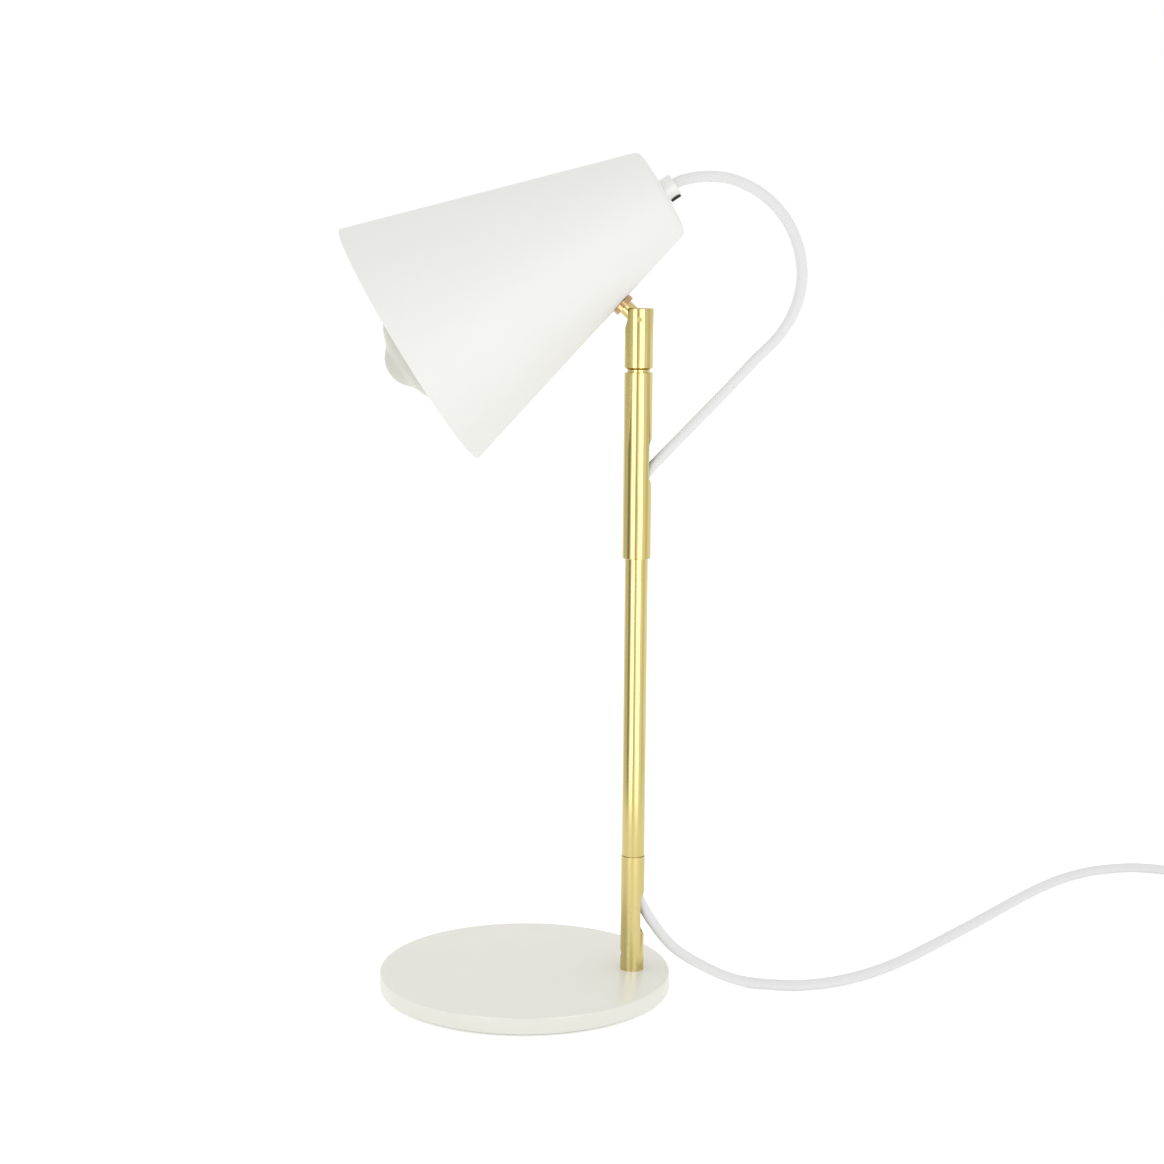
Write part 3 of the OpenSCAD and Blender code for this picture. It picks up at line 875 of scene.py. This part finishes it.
@dataclass
class Cords:
    """The textile cord: the loop at the shade, the run in the stem, and the mains lead with its coil."""

    radius_mm: float = 3.0
    post_x: float = 61.9
    coil_centre: tuple[float, float] = (590.0, 181.0)
    coil_low: float = 3.8
    coil_pitch: float = 6.0
    coil_outer: float = 41.0
    coil_second: float = 25.0
    coil_turns: tuple[float, float] = (2.5, 2.75)
    steps_per_turn: int = 16
    climb_steps: int = 4

    # Pieces that lie on the mains lead and go where it goes
    ON_LEAD: ClassVar[list[str]] = [
        "switch_base_made", "switch_cover_made", "switch_rocker_made", "switch_screws_made",
        "switch_terminals_made", "coil_tie_made", "plug_sleeve_made", "plug_body_made", "plug_pins_made",
        "plug_grip_ribs",
    ]
    # The loop, its foot and the run inside are level lists of X and Z, the last with X from the stem's axis
    LOOP: ClassVar[Profile] = [
        (80.6, 456.6), (83.5, 458.3), (90.5, 460), (96.5, 460.7), (103, 460.7), (109.5, 460), (115.5, 458.2),
        (122.5, 455.2), (129, 451.2), (135, 446.2), (140.2, 440.4), (144.3, 434.2), (147.5, 427.4),
        (150.2, 418.8), (151.4, 409.6), (151.2, 402.6), (150, 395.8), (148, 389.4), (145.3, 383.4),
        (142.1, 378), (138.2, 372.8), (133, 367.4), (127.2, 361.8), (120.5, 354.6), (113.6, 347),
    ]
    LOOP_FOOT: ClassVar[Profile] = [
        (113.6, 347), (105.4, 338.4), (97.2, 329.8), (90.2, 322.5), (83.3, 315.3), (76.2, 307.8),
        (69.1, 300.3),
    ]
    INSIDE: ClassVar[Profile] = [
        (7.2, 300.3), (4.4, 296.6), (2.2, 292), (0.7, 286.8), (0, 281), (0, 230), (0, 180), (0, 130),
        (0, 104), (0, 70), (0.5, 62.5), (1.9, 56.5), (4.2, 51), (7.1, 45.5),
    ]
    MAINS: ClassVar[Route] = [
        (69, 0, 45.5), (72.6, 0, 39.6), (76.8, 0, 33.6), (81.2, 0, 28), (86.6, 0, 22.6), (93.8, 0, 17.4),
        (102.4, -0.3, 12.6), (112, -0.8, 8), (123, -1.6, 4.4), (134.5, -3, 3.05), (146.5, -5.4, 3.05),
        (158.5, -5.8, 3.05), (172.5, -2, 3.05), (187.4, 5.6, 3.05), (204, 18.4, 3.05), (221.2, 35.7, 3.05),
        (240.5, 59.5, 3.05), (262, 87.6, 3.05), (285, 118, 3.05), (310, 152, 3.05), (334.5, 184.5, 3.05),
        (358.5, 212, 3.05), (385, 233.4, 3.05), (412, 243, 3.05), (428, 242, 3.05), (438, 237.8, 3.2),
        (446, 232.6, 4), (453.6, 227.8, 5.2), (461.4, 224.2, 6.3), (468.4, 222.5, 6.9), (474, 222, 7),
    ]
    SWITCH: ClassVar[Route] = [
        (503, 222, 7), (532, 222, 7), (538, 222, 6.6), (545, 222, 5.6), (552, 222, 4.6), (560, 222, 3.95),
        (568, 222, 3.8), (577, 222, 3.8),
    ]
    END: ClassVar[Route] = [
        (631.3, 168, 9.8), (631.2, 162, 9.6), (631, 156, 8.9), (631, 150, 7.6), (631, 140, 6.9),
        (631, 128, 6.9),
    ]

    def coil(self) -> Route:
        """The coil's turns: two and a half inwards on the floor, then two and three quarters outwards on top.

        Returns:
            Points in millimetres, from the coil's outside to its outside.
        """
        points = []
        low_steps, high_steps = (round(turns * self.steps_per_turn) for turns in self.coil_turns)
        for k in range(low_steps + 1):
            radius = self.coil_outer - self.coil_pitch * k / self.steps_per_turn
            points.append(self.on_coil(k, radius, self.coil_low))
        for k in range(1, high_steps + 1):
            radius = self.coil_second + self.coil_pitch * k / self.steps_per_turn
            rise = min(1.0, k / self.climb_steps)
            height = self.coil_low + self.coil_pitch * rise * rise * (3 - 2 * rise)
            points.append(self.on_coil(low_steps + k, radius, height))
        return points

    def on_coil(self, step: int, radius: float, height: float) -> tuple[float, float, float]:
        """A point on the coil.

        Args:
            step: steps of the coil after its start.
            radius: distance from the coil's middle.
            height: over the floor.

        Returns:
            The point, in millimetres.
        """
        angle = math.pi / 2 - math.tau * step / self.steps_per_turn
        x, y = self.coil_centre
        return x + radius * math.cos(angle), y + radius * math.sin(angle), height

    def build(self) -> None:
        """Make the cords and the tail inside the shade; the loop and its foot stay on no body."""
        radius = self.radius_mm * MM
        flat = [(x, 0.0, z) for x, z in self.LOOP]
        grip = [(77.4, 0.0, 454.4)]
        loop_path = smooth_path(grip + flat)
        loop = tube("loop_cord", loop_path, radius)
        foot_path = smooth_path([(x, 0.0, z) for x, z in self.LOOP_FOOT])
        foot = tube("loop_cord_foot", foot_path, radius, start_u=path_length(loop_path))
        inside_path = smooth_path([(self.post_x + d, 0.0, z) for d, z in self.INSIDE])
        inside = tube("stem_cord", inside_path, radius)
        lead_path = smooth_path(self.MAINS + self.SWITCH + self.coil() + self.END)
        lead = tube("mains_cord", lead_path, radius)
        for piece, nodes in (
            (loop, ["cord_loop"]), (foot, ["cord_loop_foot"]), (inside, ["cord_inside"]),
            (lead, ["mains_lead", "switch_lead", "lead_coil", "lead_end"]),
        ):
            settle(piece, TEXTILE, nodes)
        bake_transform(loop)
        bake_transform(foot)
        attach(inside, Body.STAND.value)
        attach(lead, Body.STAND.value)
        carry(["cord_tail"], Body.SHADE, TEXTILE_END)
        LOG.info("loop cord %.3f m", path_length(loop_path) + path_length(foot_path))
        LOG.info("mains lead %.3f m", path_length(lead_path))


@dataclass
class Foot:
    """The round plate foot with its pad and fixing."""

    radius: float = 83.5
    pad: float = 1.0
    top: float = 10.6
    edge: float = 1.1

    def build(self) -> None:
        """Spin the plate, and dress the pad and the fixing."""
        profile = [
            (0.0, self.pad),
            *arc((self.radius - self.edge, self.pad + self.edge), self.edge, -90, 0, 6),
            *arc((self.radius - self.edge, self.top - self.edge), self.edge, 0, 90, 6),
            (0.0, self.top),
        ]
        plate = spun("foot_plate", profile, Matrix.Identity(4), FOOT_COAT, steps=256)
        settle(plate, FOOT_COAT, ["base_plate"], Body.STAND)
        carry(["base_pad"], Body.STAND, FELT)
        carry(["foot_bolt", "foot_washer", "foot_stud", "collar_grub_screw"], Body.STAND, ZINC)


@dataclass
class Stem:
    """The brass collar, tube and sleeve, and the knuckle on top."""

    axis_x: float = 0.0619

    def build(self) -> None:
        """Dress the stem's and the knuckle's pieces."""
        carry(["upper_sleeve", "swivel_washer"], Body.STAND, BRASS, axis_x=self.axis_x)
        carry(["stem_tube", "stem_spigot"], Body.STAND, TUBE_BRASS, axis_x=self.axis_x)
        carry(["foot_collar"], Body.STAND, COLLAR_BRASS, axis_x=self.axis_x)
        carry(["cord_anchor"], Body.STAND, WHITE_MOULDING)
        carry(["swivel_head", "swivel_spindle"], Body.KNUCKLE, BRASS, axis_x=self.axis_x)
        carry(["pivot_pin"], Body.KNUCKLE, BRASS)
        carry(["spindle_washer", "spindle_nut", "friction_spring"], Body.KNUCKLE, ZINC)
        carry(["friction_pad"], Body.KNUCKLE, WHITE_MOULDING)
        carry(["tilt_neck"], Body.SHADE, BRASS)
        carry(["neck_nut"], Body.SHADE, TUBE_BRASS)
        carry(["neck_washer"], Body.SHADE, COPPER_BRASS)


@dataclass
class Shade:
    """The cone shade with its cord grip, lampholder and bulb."""

    mouth: float = 146.6
    back: float = 50.6
    length: float = 162.5
    sheet: float = 1.2
    dip: float = 31.2
    droop: float = 2.5
    shoulder: float = 4.5
    dome: float = 1.2
    hole: float = 5.3
    neck_from_mouth: float = 117.3
    neck_reach: float = 13.6
    pivot: tuple[float, float] = (61.9, 382.7)
    bulb_radius: float = 28.5
    bulb_inset: float = 6.7
    bulb_neck: float = 13.2
    bulb_flank_deg: float = 38.0
    cap_end: float = 100.0
    cap_thread_start: float = 83.0
    rod_thread_start: float = 7.0

    # The bulb's front, a shallow dome with a rounded crown: radius and distance before the bulb's middle
    FRONT: ClassVar[Profile] = [
        (28.1, 5.6), (27.3, 8.6), (25.6, 11.3), (23.1, 13.4), (20, 15.1), (16.8, 16.4), (14.2, 17.6),
        (12.3, 19.1), (10.5, 20.8), (8.6, 22.3), (6.4, 23.5), (4, 24.3), (2, 24.6), (0, 24.7),
    ]

    def place(self, droop: float = 0.0) -> Matrix:
        """The frame of the cone's axis: its origin at the back, +Z towards the mouth.

        Args:
            droop: degrees that the frame hangs below the axis.

        Returns:
            The frame in metres.
        """
        half = self.half_angle()
        turn = Matrix.Rotation(math.radians(-(90 + self.dip)), 4, "Y")
        along = self.length - self.neck_from_mouth * math.cos(half)
        skin = self.back / 2 + along * math.tan(half)
        local = Vector((
            -skin - self.neck_reach * math.cos(half), 0.0, along - self.neck_reach * math.sin(half)
        ))
        pivot = Vector((self.pivot[0], 0.0, self.pivot[1]))
        back = pivot - turn @ local
        return Matrix.Translation(back * MM) @ turn @ Matrix.Rotation(math.radians(-droop), 4, "Y")

    def half_angle(self) -> float:
        """Half of the cone's angle, in radians."""
        return math.atan((self.mouth - self.back) / 2 / self.length)

    def shell(self) -> None:
        """Spin the sheet metal cone, with its shoulder, shallow dome and rounded lip."""
        half = self.half_angle()
        deg = math.degrees(half)
        centre_r = self.back / 2 + self.shoulder * math.tan(half) - self.shoulder / math.cos(half)
        centre = (centre_r, self.shoulder)
        lip = self.sheet / 2
        radii = [self.hole + (centre_r - self.hole) * k / 8 for k in range(8)]
        bowed = [(r, -self.dome * (1 - (r / centre_r) ** 2)) for r in radii]
        lip_centre = (self.mouth / 2 - lip / math.cos(half), self.length - lip)
        profile = [
            *bowed,
            *arc(centre, self.shoulder, -90, -deg, 10),
            *arc(lip_centre, lip, -deg, 180 - deg, 8),
            *arc(centre, self.shoulder - self.sheet, -deg, -90, 8),
            *[(r, s + self.sheet) for r, s in reversed(bowed)],
            bowed[0],
        ]
        shell = spun("shade_cone", profile, self.place(), SHADE_COAT, steps=256)
        settle(shell, SHADE_COAT, ["shade_shell"], Body.SHADE)

    def bulb(self) -> None:
        """Blow the opal bulb and roll the thread on its cap."""
        middle = self.length - self.bulb_inset
        side_s = middle - self.bulb_radius * math.sin(math.radians(self.bulb_flank_deg))
        side_r = self.bulb_radius * math.cos(math.radians(self.bulb_flank_deg))
        # The flank swells along most of half a cosine wave, and meets the sphere's side at a slant
        flank, steps, half_wave = [], 20, 28
        for k in range(steps):
            swell = (1 - math.cos(math.pi * k / half_wave)) / 2
            radius = self.bulb_neck + (side_r - self.bulb_neck) * swell
            flank.append((radius, self.cap_end + (side_s - self.cap_end) * k / steps))
        front = smooth_path([(r, 0.0, h) for r, h in self.FRONT], step_mm=0.9)
        profile = [
            (0.0, self.cap_end), *flank,
            *arc((0.0, middle), self.bulb_radius, -self.bulb_flank_deg, 4, 16),
            *[(max(0.0, p.x / MM), middle + p.z / MM) for p in front],
        ]
        # The glass's greyed colour is painted shade from the cone around it
        glass = spun("bulb_envelope", profile, self.place(self.droop), OPAL_GLASS_PAINTED_SHADE, steps=128)
        settle(glass, OPAL_GLASS_PAINTED_SHADE, ["bulb_glass"], Body.SHADE)
        place = self.place(self.droop) @ Matrix.Translation((0, 0, self.cap_thread_start * MM))
        # The usual bulb thread: 3.63 mm pitch on a 26 mm cap
        ridge = thread(
            "bulb_cap_thread", radius=12.7, pitch=3.63, turns=3.6, ridge=0.75, finish=CAP_METAL, place=place
        )
        settle(ridge, CAP_METAL, [], Body.SHADE)
        carry(["bulb_cap", "bulb_contact"], Body.SHADE, CAP_METAL)

    def build(self) -> None:
        """Make the shell and bulb, and dress the grip and lampholder."""
        self.shell()
        self.bulb()
        carry(["cord_grip", "holder_cap", "holder_body"], Body.SHADE, WHITE_MOULDING)
        carry(["grip_screw"], Body.SHADE, BLACK_SCREW)
        carry(["holder_insert"], Body.SHADE, PORCELAIN)
        carry(["holder_tube", "tube_nut"], Body.SHADE, ZINC)
        carry(["holder_thread", "holder_contact"], Body.SHADE, TUBE_BRASS)
        # Fine M10 thread on the tube that carries the lampholder
        place = self.place(self.droop) @ Matrix.Translation((0, 0, self.rod_thread_start * MM))
        rod = thread(
            "holder_tube_thread", radius=4.85, pitch=1.0, turns=30, ridge=0.3, finish=ZINC, place=place
        )
        settle(rod, ZINC, [], Body.SHADE)


@dataclass
class SwitchAndPlug:
    """The inline switch and the two pin plug on the mains lead."""

    plug_x: float = 631.0
    ribs_y: float = 118.0
    plug_top: float = 13.8
    rib_sink: float = 0.15

    def build(self) -> None:
        """Dress the mouldings and add the plug's grip ribs."""
        carry(["switch_base", "switch_cover", "plug_body"], Body.STAND, WHITE_MOULDING)
        carry(["switch_rocker"], Body.ROCKER, WHITE_MOULDING)
        carry(["switch_terminals"], Body.STAND, TUBE_BRASS)
        carry(["switch_screws"], Body.STAND, ZINC)
        carry(["plug_sleeve"], Body.STAND, WHITE_RUBBER)
        carry(["plug_pins"], Body.STAND, NICKEL)
        carry(["coil_tie"], Body.STAND, BAND)
        middle = Vector((self.plug_x, self.ribs_y, self.plug_top - self.rib_sink)) * MM
        place = Matrix.Translation(middle) @ Matrix.Rotation(math.pi / 2, 4, "Z")
        grip = ribs(
            "plug_grip_ribs", count=6, gap=2.4, length=11.0, width=1.1, finish=WHITE_MOULDING, place=place
        )
        settle(grip, WHITE_MOULDING, [], Body.STAND)


def main() -> None:
    """Build the lamp in order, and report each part."""
    logging.basicConfig(level=logging.INFO)
    Studio().build()
    SwitchAndPlug().build()
    Cords().build()
    Foot().build()
    Stem().build()
    Shade().build()


if __name__ == "__main__":
    main()
